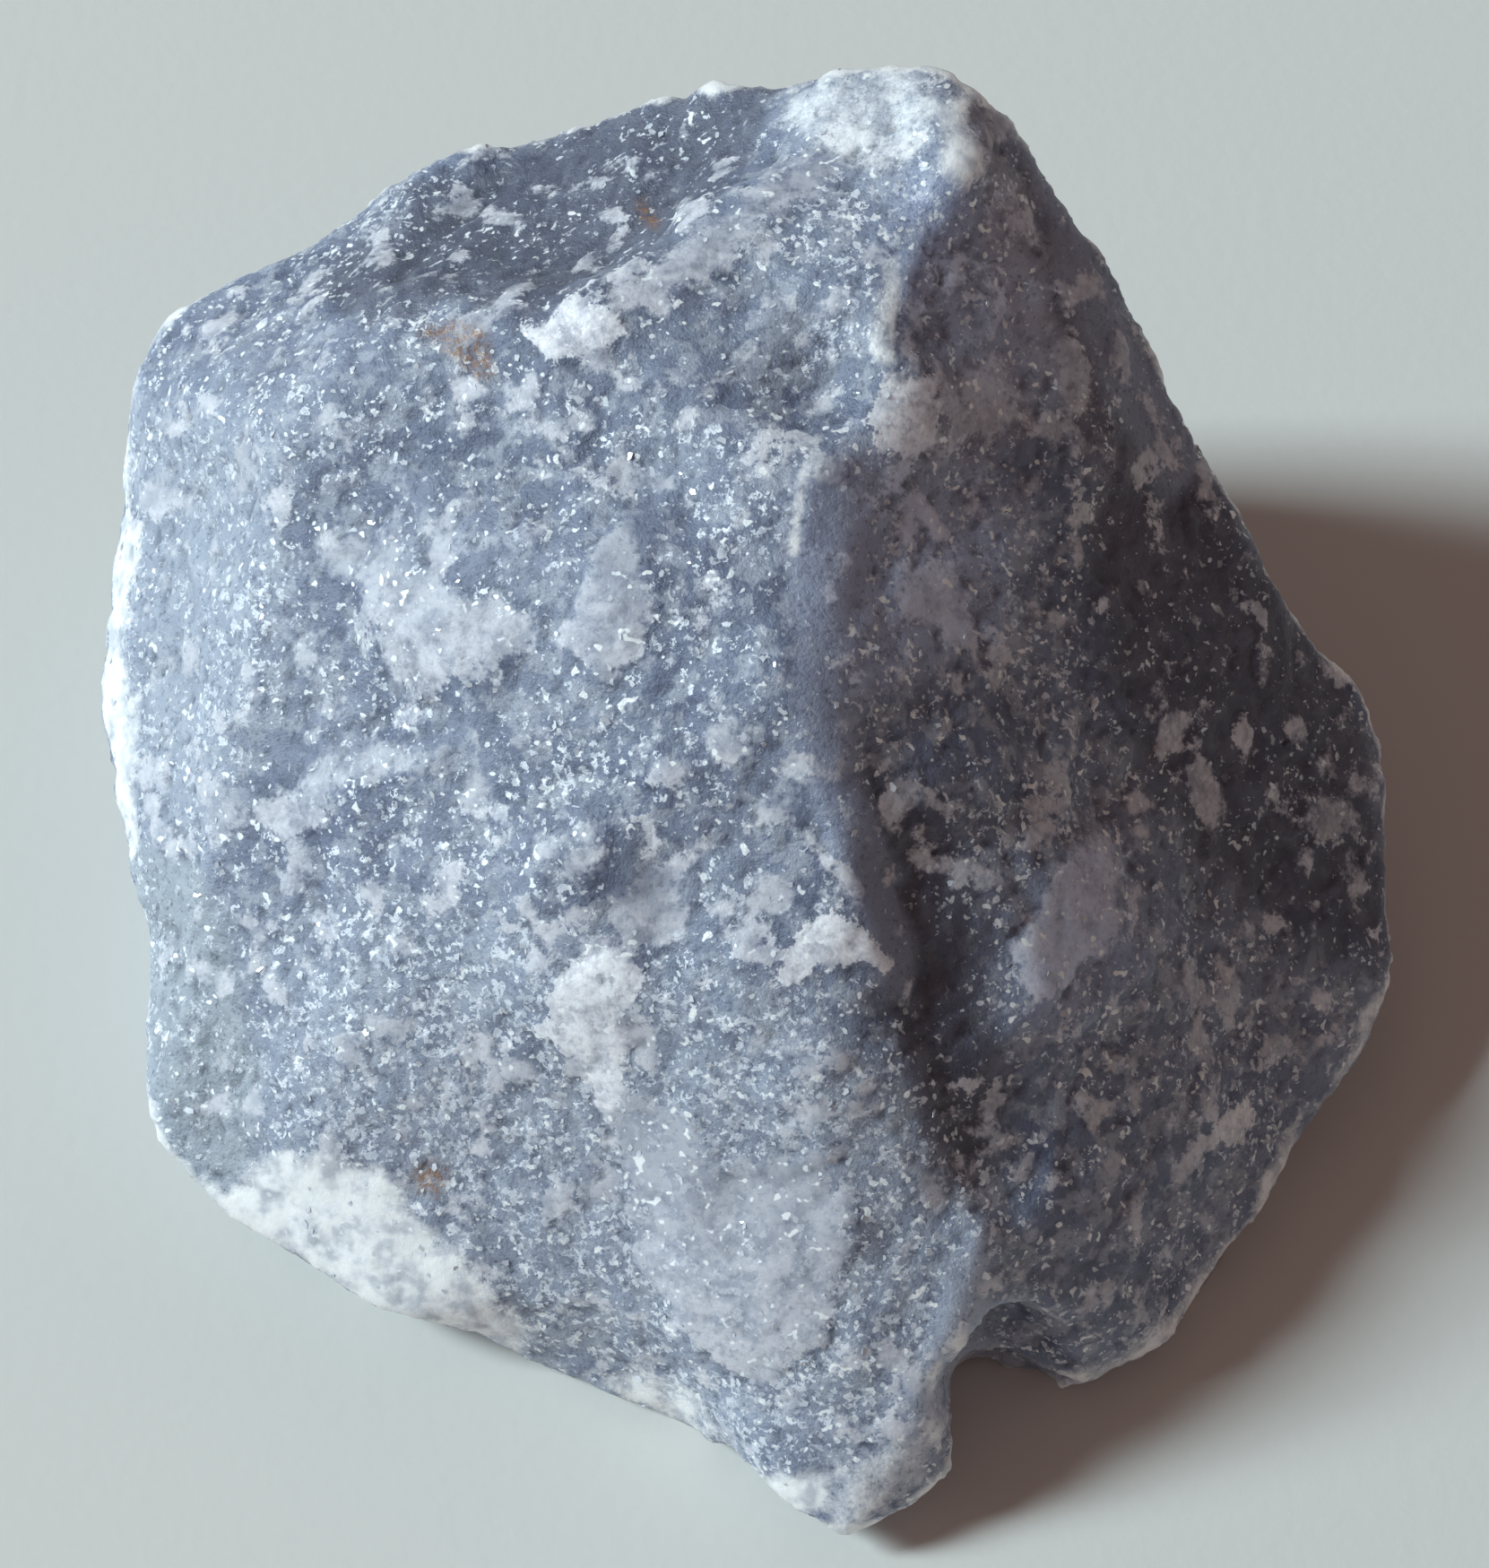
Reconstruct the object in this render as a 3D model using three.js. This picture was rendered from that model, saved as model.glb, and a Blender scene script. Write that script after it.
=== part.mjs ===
// Raw angelite: one loose chunk of pale blue anhydrite, broken on every side.
// The chunk is the hull of its corners, scooped by the scars that flakes left as they broke away,
// and roughened by lumps, ledges and thin plates. Millimetres, +Z up, resting on its flat underside.
// West is -X, east is +X, the front is -Y and the back is +Y.
import * as THREE from "three";
import { ConvexGeometry } from "three/addons/geometries/ConvexGeometry.js";
import { ImprovedNoise } from "three/addons/math/ImprovedNoise.js";
import { TessellateModifier } from "three/addons/modifiers/TessellateModifier.js";
import { mergeVertices } from "three/addons/utils/BufferGeometryUtils.js";

// Driving dimensions
const STONE_WIDTH = 81.5;
const STONE_DEPTH = 80.5;
const STONE_HEIGHT = 47;

// Fineness of the faceted surface: the longest edge that a triangle keeps, and the rounds of halving it takes
const LONGEST_EDGE = 3.35;
const HALVING_ROUNDS = 24;

// Relief of the broken surface: a lump's or ledge's spacing along the stone, and how far it stands out
const LUMPS = [
  { spacing: 17, rise: 0.7 },
  { spacing: 8, rise: 0.45 },
  { spacing: 4, rise: 0.25 },
];
const LEDGE_SPACING = 21;
const LEDGE_COUNT = 3;
const LEDGE_RISE = 0.55;
const REST_CLEARANCE = 2.5; // height over which the relief fades in, so that the underside stays flat

const FACE_COLOUR = 0x8a97ab;
const FACE_ROUGHNESS = 0.55;

// A place in the stone's own box: percent of its width from the west, its depth from the front, its height
function at(across, back, up) {
  return new THREE.Vector3(
    (across / 100 - 0.5) * STONE_WIDTH,
    (back / 100 - 0.5) * STONE_DEPTH,
    (up / 100) * STONE_HEIGHT,
  );
}

// Every ray that finds the surface starts here, inside the stone
const HEART = at(49, 49, 36);

// Corners of the chunk, going round each part of it
const CREST = [
  at(42, 99.5, 92), // west knob
  at(55.5, 95, 97),
  at(63.5, 94, 100), // crown
  at(68.5, 91, 96),
];
const EAST_FLANK = [
  at(75.3, 86, 81),
  at(82, 77.3, 64),
  at(91, 69.5, 45),
  at(97.5, 63, 30),
  at(99.5, 53, 21),
  at(100, 44, 15),
];
const EAST_FLANK_EDGE = [
  at(65.5, 90.5, 97),
  at(70, 85, 87),
  at(74.5, 76, 73),
  at(78, 69.5, 63),
  at(82.5, 62.5, 51),
  at(87.5, 55, 39),
  at(91, 46.5, 28),
];
const FRONT_RIM = [
  at(95, 35.5, 10),
  at(89.5, 28, 8),
  at(81.5, 15.5, 6),
  at(73, 10.5, 6),
  at(62.5, 3.5, 9), // east corner of the prong
  at(56, 0, 6), // tip of the prong
  at(52, 2, 9),
  at(33.5, 12.5, 13),
  at(23, 17, 13),
  at(14, 21.5, 13),
  at(7.5, 24, 15),
];
const WEST_RIM = [
  at(4, 28.5, 17),
  at(2.5, 35.5, 20),
  at(2, 47, 28),
  at(0.5, 64, 34),
  at(0.5, 76.5, 45),
  at(2, 85, 53),
];
const NORTH_WEST_RIM = [
  at(5, 88.5, 60),
  at(12.5, 92, 64),
  at(21, 97.5, 68),
  at(30.5, 100, 77),
  at(37, 100, 83),
];
const RIDGE = [
  at(65, 86, 99),
  at(60, 75, 98),
  at(57.5, 68.5, 96.5),
  at(53.5, 60.5, 93.5),
  at(52, 46, 84),
  at(56, 36.5, 72.5),
  at(61, 26.5, 57.5),
  at(66, 15, 36),
  at(60.5, 5.5, 17),
];
const FOLD = [
  at(2.5, 82.5, 57),
  at(14, 73.5, 75),
  at(23, 73, 80.5),
  at(31.5, 73, 86),
  at(37, 75.5, 91.5),
];
const WEST_BEVEL = [
  at(9.5, 61, 55),
  at(11.5, 44, 37),
  at(13, 33, 25.5),
  at(14.5, 27, 19),
];
const BACK = [
  at(27, 99, 38),
  at(56, 99.5, 51),
  at(76, 88, 47),
];
const UNDERSIDE = [
  at(11, 34, 0),
  at(20, 23, 0),
  at(41, 13, 0),
  at(52, 7, 0),
  at(71, 15, 0),
  at(83, 20, 0),
  at(93, 37, 0),
  at(95, 54, 0),
  at(86, 70, 0),
  at(70, 85, 0),
  at(46, 93, 0),
  at(24, 89, 0),
  at(8, 75, 0),
  at(5, 52, 0),
];

// Scars: a round-bottomed scoop of a given radius and depth, at a place on the stone.
// It faces a compass bearing (0 is the back, 90 the east) and a tilt above level.
const SCARS = [
  { name: "hollow by the west knob", place: at(33, 86.5, 84), bearing: -36, tilt: 64, radius: 24, depth: 2.4 },
  { name: "groove by the hollow", place: at(47.5, 89, 93), bearing: -40, tilt: 60, radius: 9, depth: 1.5 },
  { name: "saddle in the crest", place: at(50.5, 96.5, 94), bearing: -10, tilt: 45, radius: 5, depth: 2.4 },
  { name: "hollow by the ridge", place: at(66, 47, 74), bearing: 112, tilt: 46, radius: 40, depth: 2.9 },
  { name: "foot of the prong notch", place: at(68.5, 7.5, 5), bearing: 152, tilt: 0, radius: 4, depth: 7 },
  { name: "head of the prong notch", place: at(69, 8.5, 20), bearing: 152, tilt: 20, radius: 4, depth: 7 },
  { name: "hollow west of the prong", place: at(43, 8, 11), bearing: 212, tilt: 10, radius: 30, depth: 1.6 },
  { name: "chip in the ridge", place: at(57, 69, 96), bearing: 240, tilt: 60, radius: 7, depth: 1 },
  { name: "hollow in the east flank", place: at(87, 76, 30), bearing: 50, tilt: 5, radius: 30, depth: 2.6 },
  { name: "spall on the back", place: at(40, 100, 30), bearing: -8, tilt: -5, radius: 38, depth: 3.2 },
  { name: "spall under the west", place: at(3, 55, 14), bearing: -88, tilt: -25, radius: 24, depth: 2.4 },
];

// Plates: thin flakes still attached, standing proud of the top, each a turned oval with a ragged edge
const PLATE_RISE = 0.9;
const PLATE_EDGE = 0.35; // share of the oval over which its edge falls
const PLATE_RAGGEDNESS = 0.35;
const PLATES = [
  { name: "long plate above the prong", place: at(50, 19, 0), length: 21, width: 12, turn: 105 },
  { name: "plate in the middle", place: at(38.5, 33, 0), length: 13, width: 7, turn: 120 },
  { name: "plate below the fold", place: at(29, 57, 0), length: 13, width: 9, turn: 130 },
  { name: "plate west of the ridge", place: at(39, 57, 0), length: 10, width: 6, turn: 110 },
  { name: "plate on the west slope", place: at(24, 48, 0), length: 9, width: 5, turn: 10 },
  { name: "plate on the east face", place: at(72, 36, 0), length: 12, width: 6, turn: 70 },
  { name: "chip by the hollow", place: at(38, 75, 0), length: 8, width: 6, turn: 60 },
];

const noise = new ImprovedNoise();

// Smooth noise from -1 to 1, whose features lie the given distance apart; layer picks an unrelated pattern
function waver(point, spacing, layer) {
  const shift = 31.7 * layer;
  return noise.noise(point.x / spacing + shift, point.y / spacing - shift, point.z / spacing + shift);
}

// The way that a compass bearing and a tilt above level point
function facing(bearing, tilt) {
  const azimuth = THREE.MathUtils.degToRad(bearing);
  const elevation = THREE.MathUtils.degToRad(tilt);
  const level = Math.cos(elevation);
  return new THREE.Vector3(Math.sin(azimuth) * level, Math.cos(azimuth) * level, Math.sin(elevation));
}

// The ball whose surface is a scar: it reaches depth into the stone at the scar's place
function scarBall({ place, bearing, tilt, radius, depth }) {
  const centre = place.clone().addScaledVector(facing(bearing, tilt), radius - depth);
  return new THREE.Sphere(centre, radius);
}

// How much of a plate covers a point, from 0 to 1, seen from above
function plateCover({ place, length, width, turn }, point) {
  const angle = THREE.MathUtils.degToRad(turn);
  const east = point.x - place.x;
  const north = point.y - place.y;
  const along = (east * Math.cos(angle) + north * Math.sin(angle)) / (length / 2);
  const over = (north * Math.cos(angle) - east * Math.sin(angle)) / (width / 2);
  const reach = Math.hypot(along, over) + PLATE_RAGGEDNESS * waver(point, width / 2, 5);
  return 1 - THREE.MathUtils.smoothstep(reach, 1 - PLATE_EDGE, 1 + PLATE_EDGE);
}

// Ledges: noise cut into flat steps with short risers
function ledges(point) {
  const height = LEDGE_COUNT * waver(point, LEDGE_SPACING, 9);
  const step = Math.floor(height);
  const riser = THREE.MathUtils.smoothstep(height - step, 0.4, 0.6);
  return LEDGE_RISE * (step + riser - 0.5);
}

// How far the broken surface stands out from the plain chunk at a point
function relief(point) {
  const lumps = LUMPS.reduce((sum, { spacing, rise }, layer) => sum + rise * waver(point, spacing, layer), 0);
  const isTop = point.z > HEART.z / 2;
  const plates = isTop ? Math.max(...PLATES.map((plate) => plateCover(plate, point))) : 0;
  const fade = THREE.MathUtils.smoothstep(point.z, 0, REST_CLEARANCE);
  return fade * (lumps + ledges(point) + PLATE_RISE * plates);
}

const corners = [
  ...CREST,
  ...EAST_FLANK,
  ...EAST_FLANK_EDGE,
  ...FRONT_RIM,
  ...WEST_RIM,
  ...NORTH_WEST_RIM,
  ...RIDGE,
  ...FOLD,
  ...WEST_BEVEL,
  ...BACK,
  ...UNDERSIDE,
];
const scarBalls = SCARS.map(scarBall);

// Pulls a point on the stone in to the deepest scar that crosses its ray from the heart
function scar(point) {
  const ray = new THREE.Ray(HEART, point.clone().sub(HEART).normalize());
  const cut = new THREE.Vector3();
  for (const ball of scarBalls) {
    if (ray.intersectSphere(ball, cut) && HEART.distanceTo(cut) < HEART.distanceTo(point)) point.copy(cut);
  }
}

// Roughens a point on the scarred stone, keeping it above the ground that the stone rests on
function roughen(point) {
  const outward = point.clone().sub(HEART).normalize();
  point.addScaledVector(outward, relief(point));
  point.z = Math.max(0, point.z);
}

// Applies a change of place to every corner of a geometry
function move(geometry, change) {
  const position = geometry.getAttribute("position");
  const point = new THREE.Vector3();
  for (let i = 0; i < position.count; i++) {
    change(point.fromBufferAttribute(position, i));
    position.setXYZ(i, point.x, point.y, point.z);
  }
}

// Slides the stone level until the middle of its box is over the origin
function centre(geometry) {
  geometry.computeBoundingBox();
  const middle = geometry.boundingBox.getCenter(new THREE.Vector3());
  geometry.translate(-middle.x, -middle.y, 0);
}

// The stone as one closed body: the hull of its corners cut into small triangles, scarred and roughened.
// Scarring stretches the triangles on steep walls, so they are cut and scarred a second time.
function stoneGeometry() {
  const tessellate = new TessellateModifier(LONGEST_EDGE, HALVING_ROUNDS);
  let surface = new ConvexGeometry(corners);
  surface.deleteAttribute("normal");
  for (let round = 0; round < 2; round++) {
    surface = tessellate.modify(surface);
    move(surface, scar);
  }
  const geometry = mergeVertices(surface);
  move(geometry, roughen);
  centre(geometry);
  geometry.computeVertexNormals();
  return geometry;
}

const stone = new THREE.Mesh(
  stoneGeometry(),
  new THREE.MeshStandardMaterial({ color: FACE_COLOUR, roughness: FACE_ROUGHNESS, metalness: 0 }),
);
stone.name = "stone";

const angelite = new THREE.Group();
angelite.add(stone);

export default angelite;
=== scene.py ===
"""Raw angelite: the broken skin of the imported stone, with its pale flakes, white rind and cleavage grains.

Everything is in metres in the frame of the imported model. Shapes are worked in millimetres and turned to
metres once. Marks are placed by where they show in the 1661 x 1749 photograph, through the camera that
renders.
"""

import math

import bmesh
import bpy
import numpy as np
from mathutils import Matrix, Vector, noise


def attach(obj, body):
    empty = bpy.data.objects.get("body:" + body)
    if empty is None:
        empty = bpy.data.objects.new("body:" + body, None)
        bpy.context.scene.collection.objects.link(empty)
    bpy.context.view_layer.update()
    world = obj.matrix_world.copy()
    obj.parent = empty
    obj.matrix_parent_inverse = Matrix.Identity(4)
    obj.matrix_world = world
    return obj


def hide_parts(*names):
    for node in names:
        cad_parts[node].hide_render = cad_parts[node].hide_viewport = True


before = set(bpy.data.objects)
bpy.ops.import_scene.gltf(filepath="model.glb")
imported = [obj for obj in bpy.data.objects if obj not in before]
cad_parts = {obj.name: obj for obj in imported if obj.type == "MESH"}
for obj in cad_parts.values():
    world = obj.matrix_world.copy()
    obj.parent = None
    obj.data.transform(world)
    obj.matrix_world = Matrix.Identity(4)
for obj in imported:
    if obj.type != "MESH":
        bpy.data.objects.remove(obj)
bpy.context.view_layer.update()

MM = 0.001

# Photograph and viewpoint
PHOTO_WIDTH = 1661
PHOTO_HEIGHT = 1749
SENSOR_MM = 36.0
LENS_MM = 98.5
VIEW_ELEVATION = 60.0
VIEW_DISTANCE = 260.0
VIEW_TARGET = (-0.2, 1.8, 20.0)

# Skin of the stone, in millimetres
PIXELS_PER_MM = 18.4
SKIN_STEP = 0.47
SMOOTHING_ROUNDS = 8
SOFTENING_ROUNDS = 90
LUMPS = ((6.0, 0.16), (2.6, 0.10), (1.2, 0.07))
HACKLE_SPACING = 8.0
HACKLE_STEPS = 4
HACKLE_RISE = 0.16
HACKLE_FINENESS = 3
HACKLE_FINE_SHARE = 0.25
HACKLE_RISER = (0.75, 1.0)
GRAIN_SIZE = 1.0
GRAIN_TILT = 0.16
GRAIN_RISE = 0.07
FLAKE_RAGGED = ((3.2, 0.55), (1.2, 0.45))
FLAKE_THINNESS = 0.35
FLAKE_SPREAD = 0.2
SCATTERED_SPACING = 2.6
SCATTERED_LEVEL = 0.22
SCATTERED_RISE = 0.12
SCATTERED_FINENESS = 2.6
SCATTERED_FINE_SHARE = 0.5
SCATTERED_THINNING = 0.06
SCATTERED_REACH = 0.6
SCATTERED_LIGHT = 0.7
SCATTERED_LIGHT_CLOUD = (4.0, 0.5)
FLAKE_EDGE = (-0.1, 0.3)
FLAKE_HEAD = 0.35
FLAKE_COVER = (-0.1, 0.2)
FLAKE_HALO = -0.6
FLAKE_LIGHT_AT_HEAD = 0.3
FLAKE_LIGHT_GAIN = 0.5
FLAKE_LIGHT_FROM_TO = (0.1, 0.9)
FACING = (0.0, 0.2)
SEEN_ENOUGH = 0.3
BRIGHT_LIGHT = 1.3
BLANK = -3.0
SOFT_EDGE = 40
SETTLE = (0.3, 2.0)
SMOOTH_CALM = 0.7
RIND_CALM = 0.49
FLAKE_CALM = 0.6
# Painted shade in crevices: how far a point lies below its smoothed surroundings, in millimetres
CREVICE_ROUNDS = 6
CREVICE_SHADE_RANGE = (0.02, 0.14)

# Edges worn white: how far a point stands out from its surroundings, in millimetres
WORN_ROUNDS = 30
WORN_NORMAL_ROUNDS = 15
WORN = (0.16, 0.42)
WORN_RAGGED = (3.0, 0.10)
BRUISED_STRENGTH = 0.45
CREST_STRENGTH = 0.7
# How strongly the lower front is painted paler, as painted light
FRONT_PAINTED_LIGHT = 0.6

# Clouds of tone and of sparkle: the level, then spacing in millimetres and strength of each layer
TONE_LEVEL = 0.4
TONE_CLOUDS = ((6.0, 0.5), (2.2, 0.35))
TONE_PALE = 0.4
SPARKLE_LEVEL = 0.5
SPARKLE_CLOUDS = ((5.0, 0.6), (1.9, 0.35))
SPARKLE_FRONT = 0.5
SPARKLE_PALE = 0.2
SPARKLE_DAMPING = {"smooth": 0.65, "clear": 0.4, "rind": 0.5, "painted_shade": 0.6}

# How each kind of mark ends: its share of the flakes' raggedness, then half the width of its edge in pixels
MARK_ENDS = {
    "rind": (1.4, 24),
    "bruised": (0.4, 16),
    "crest": (0.3, 8),
    "smooth": (0.6, 14),
    "clear": (2.5, 30),
    "bevel": (1.2, 15),
    "rust": (0.5, 6),
    "painted_shade": (1.0, 40),
    "front": (2.0, 60),
    "pale": (2.0, 60),
    "painted_glow": (2.0, 45),
    "pink": (2.0, 20),
}

# Washes of colour over the body: the mark, its strength and its colour
# Of these, the bluish wash is painted glow and the darkest wash is painted shade; the pale and pink washes
# are partly painted light, and the clear wash is partly painted shade
WASHES = (
    ("pale", 0.4, "#b9c0ce"),
    ("painted_glow", 0.75, "#aeb7d2"),
    ("pink", 0.3, "#b3a9ad"),
    ("clear", 0.85, "#585c6d"),
    ("painted_shade", 0.8, "#484556"),
    ("bevel", 0.65, "#adb3ba"),
)

# Cleavage platelets that lie in the skin, in millimetres
CLEAVAGE_PER_CM2 = 45.0
CLEAVAGE_SMALLEST = 0.18
CLEAVAGE_LARGEST = 0.50
CLEAVAGE_THICKNESS = 0.25
CLEAVAGE_SINK = 0.36
CLEAVAGE_TILT = 16.0
CLEAVAGE_SIDES = 5
CLEAVAGE_SEED = 11

# Fine patterns of the surface, in millimetres
GRIT_SIZE = 0.42
CRYSTAL_SIZE = 0.46
VEIN_SIZE = 1.6
GLINT_SIZE = 0.75
GLOW_DEPTH = 5.0
GLOW_WEIGHT = 0.7
GLOW_SPREAD = (0.85, 0.95, 1.0)
RELIEF_DEPTH = 0.25
CLEAVAGE_TONE_SIZE = 0.9
FLOOR_TOOTH_SIZE = 1.2
FLOOR_TOOTH_DEPTH = 0.2
ANHYDRITE_IOR = 1.57

# Light
FLOOR_REACH = 1.5
WINDOW_DISTANCE = 3.0
WINDOW_WIDTH = 0.5
WINDOW_HEIGHT = 1.1
WINDOW_POWER = 106.0
WINDOW_COLOUR = (0.81, 1.0, 1.07)
WINDOW_AZIMUTH = 177.0
WINDOW_ELEVATION = 37.0
ROOM_COLOUR = (0.170, 0.121, 0.108, 1.0)

# Pale flakes as they show in the photograph: rise in millimetres, then corners in pixels
FLAKES = {
    "teardrop": (0.7, ((678, 1244), (705, 1222), (765, 1240), (800, 1292), (850, 1283), (937, 1282),
                       (951, 1386), (918, 1504), (838, 1546), (763, 1494), (711, 1395), (687, 1310))),
    "lilac": (0.6, ((602, 1150), (612, 1110), (640, 1075), (690, 1060), (715, 1080), (700, 1130),
                    (690, 1180), (697, 1235), (665, 1225), (640, 1180))),
    "above_lilac": (0.3, ((668, 1000), (720, 960), (770, 985), (760, 1040), (700, 1060))),
    "below_fold": (0.6, ((366, 612), (406, 581), (446, 569), (467, 612), (522, 664), (560, 668),
                         (600, 690), (600, 712), (553, 753), (495, 753), (480, 777), (431, 747),
                         (418, 722), (421, 664), (391, 645), (363, 639))),
    "west_of_ridge": (0.5, ((671, 617), (701, 579), (727, 608), (724, 643), (736, 684), (713, 708),
                            (689, 758), (674, 761), (657, 737), (627, 711), (645, 673))),
    "west_slope": (0.5, ((348, 841), (394, 814), (437, 826), (467, 814), (492, 835), (480, 860),
                         (431, 872), (385, 872), (375, 896), (360, 921), (327, 930), (296, 924),
                         (281, 900), (333, 884))),
    "west_edge": (0.3, ((229, 884), (271, 880), (275, 905), (255, 930), (240, 955))),
    "hollow_chip": (0.8, ((588, 365), (640, 322), (695, 365), (670, 395), (610, 402))),
    "under_chip": (0.3, ((588, 484), (632, 447), (658, 476), (632, 498))),
    "small_above_middle": (0.3, ((712, 418), (732, 406), (752, 420), (738, 434))),
    "middle_oval": (0.3, ((714, 528), (743, 513), (758, 543), (736, 565))),
    "scarp": (0.3, ((860, 192), (905, 168), (955, 190), (880, 242), (800, 292), (740, 332), (690, 342),
                    (680, 326), (750, 286), (820, 232))),
    "crest": (0.5, ((962, 470), (985, 440), (1000, 410), (1026, 415), (1040, 450), (1052, 490),
                    (1020, 508), (985, 500))),
    "crest_east": (0.4, ((1048, 440), (1072, 436), (1092, 470), (1118, 484), (1108, 502), (1085, 490),
                         (1062, 500))),
    "pink_east": (0.4, ((1075, 480), (1070, 430), (1110, 400), (1135, 440), (1130, 485), (1105, 492))),
    "pink_flank": (0.3, ((1175, 450), (1180, 400), (1205, 390), (1214, 440), (1200, 462))),
    "shade_upper": (0.4, ((1000, 662), (1018, 640), (1060, 633), (1077, 665), (1050, 692), (1015, 690))),
    "shade_middle": (0.5, ((1150, 1110), (1130, 1060), (1160, 1000), (1190, 960), (1215, 905),
                           (1235, 930), (1252, 1000), (1240, 1060), (1200, 1082), (1170, 1112))),
    "shade_east": (0.3, ((1455, 925), (1470, 885), (1500, 895), (1505, 930), (1480, 945))),
    "shade_low": (0.3, ((1320, 1110), (1350, 1090), (1385, 1100), (1375, 1130), (1340, 1132))),
    "white_chip": (0.5, ((1358, 1256), (1390, 1224), (1404, 1242), (1376, 1272))),
    "ridge_foot": (0.5, ((867, 1098), (885, 1051), (928, 1008), (951, 1022), (989, 1074), (937, 1070),
                         (909, 1074), (890, 1103))),
    "ridge_west": (0.4, ((783, 813), (803, 784), (827, 799), (827, 837), (809, 846), (786, 840))),
    "ridge_west_low": (0.3, ((721, 872), (733, 846), (756, 857), (751, 871))),
    "ridge_side": (0.4, ((833, 925), (842, 898), (877, 878), (891, 890), (880, 910))),
    "middle": (0.4, ((627, 972), (636, 931), (654, 913), (671, 925), (669, 951), (648, 978))),
    "middle_west": (0.3, ((510, 887), (529, 860), (550, 872), (553, 893), (529, 906))),
}

BRIGHT_FLAKES = ("lilac", "white_chip", "hollow_chip", "ridge_foot", "crest")

# White rind, as it shows in the photograph
RIND_AND_PAINTED_LIP = {
    "front_crust": ((262, 1330), (290, 1290), (330, 1295), (365, 1285), (430, 1325), (470, 1360),
                    (505, 1390), (530, 1440), (580, 1500), (540, 1520), (440, 1480), (380, 1445),
                    (320, 1405), (270, 1375)),
    "west_rim": ((118, 500), (142, 480), (146, 620), (138, 760), (144, 860), (158, 930), (146, 950),
                 (120, 900), (104, 760)),
    "south_west_rim": ((162, 1270), (182, 1262), (204, 1308), (244, 1340), (292, 1362), (292, 1392),
                       (230, 1364), (188, 1338)),
    "north_west_rim": ((580, 130), (640, 96), (700, 76), (746, 66), (752, 88), (700, 108), (650, 124),
                       (600, 148)),
    # The pale lip along the shaded east edge is painted light, for light thrown up from the floor
    "east_lip": ((1198, 1536), (1250, 1514), (1303, 1478), (1348, 1430), (1398, 1350), (1432, 1285),
                 (1488, 1228), (1510, 1150), (1556, 1092), (1576, 1105), (1530, 1165), (1504, 1250),
                 (1446, 1304), (1416, 1368), (1362, 1454), (1308, 1508), (1253, 1544), (1198, 1566)),
    "prong_rim": ((685, 1536), (720, 1540), (765, 1560), (790, 1610), (830, 1640), (880, 1660),
                  (910, 1650), (938, 1640), (905, 1685), (880, 1695), (810, 1640), (755, 1595)),
}
# Thin broken rind on the crown; on the prong's end the same whitening is painted light
BRUISED_AND_PAINTED_END = {
    "crown": ((869, 136), (877, 99), (958, 77), (1025, 70), (1050, 110), (1036, 175), (988, 200),
              (914, 170)),
    "prong_end": ((915, 1690), (935, 1645), (1000, 1605), (1040, 1595), (1034, 1650), (942, 1716)),
}
# White line along the crest
CREST = {
    "head": ((984, 300), (1001, 284), (1005, 330), (1000, 372), (996, 440), (984, 440), (988, 380)),
    "foot": ((910, 480), (920, 488), (900, 540), (889, 620), (880, 616), (889, 530)),
}
# Even, finely broken zones with few specks
SMOOTH = {
    "ridge_side": ((895, 545), (945, 485), (985, 505), (972, 560), (955, 640), (945, 750), (960, 860),
                   (1000, 960), (1025, 1060), (1020, 1120), (985, 1100), (950, 1010), (918, 930),
                   (890, 850), (880, 760), (885, 650)),
    "prong_side": ((1095, 1355), (1112, 1480), (1065, 1570), (1050, 1595), (1030, 1650), (940, 1715),
                   (925, 1660), (985, 1607), (1005, 1539), (1052, 1460)),
    "east_flank": ((1140, 150), (1210, 255), (1310, 465), (1345, 525), (1300, 560), (1235, 450),
                   (1180, 300)),
}
# Where the solid's facets are rounded off
SOFT = {
    "ridge": ((850, 640), (930, 560), (1000, 700), (1060, 960), (1070, 1180), (980, 1190), (900, 1020),
              (850, 820)),
}
# Clear dark stone in the hollow, with few specks; part of its darkness is painted shade in the hollow
CLEAR_AND_SHADED = {
    "hollow": ((330, 310), (480, 215), (620, 140), (700, 90), (770, 60), (850, 95), (860, 140),
               (805, 210), (745, 265), (695, 330), (640, 330), (590, 355), (480, 335), (400, 360)),
}
# Painted shade: the flank that faces away from the light and the valley beside the ridge are painted darkest
PAINTED_SHADE_ZONES = {
    "east_flank": ((1150, 170), (1200, 240), (1345, 520), (1480, 700), (1560, 950), (1565, 1080),
                   (1450, 1060), (1330, 960), (1230, 800), (1200, 620), (1230, 520), (1190, 330)),
    "valley": ((960, 880), (1060, 880), (1110, 1080), (1120, 1300), (1060, 1320), (1000, 1180),
               (950, 1000)),
}
# Cloudier, paler stone; on the prong's side the paleness is painted light, for the glow of the thin prong
PALE_AND_LIT = {
    "crown": ((869, 136), (877, 99), (958, 77), (1020, 75), (1036, 110), (1026, 170), (988, 200),
              (914, 170)),
    "prong_side": ((1095, 1355), (1112, 1480), (1065, 1570), (1030, 1640), (985, 1607), (1005, 1539),
                   (1052, 1460)),
    "west": ((118, 560), (150, 440), (260, 420), (330, 560), (300, 760), (260, 880), (230, 960),
             (140, 960), (112, 760)),
}
# The lower front, fuller of specks and painted paler: the paleness is painted light on the front
FRONT = {
    "slope": ((300, 1040), (440, 1010), (600, 1040), (760, 1120), (900, 1130), (1010, 1180),
              (1080, 1330), (1040, 1460), (990, 1560), (900, 1640), (780, 1590), (690, 1530),
              (540, 1480), (380, 1410), (290, 1290)),
}
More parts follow.
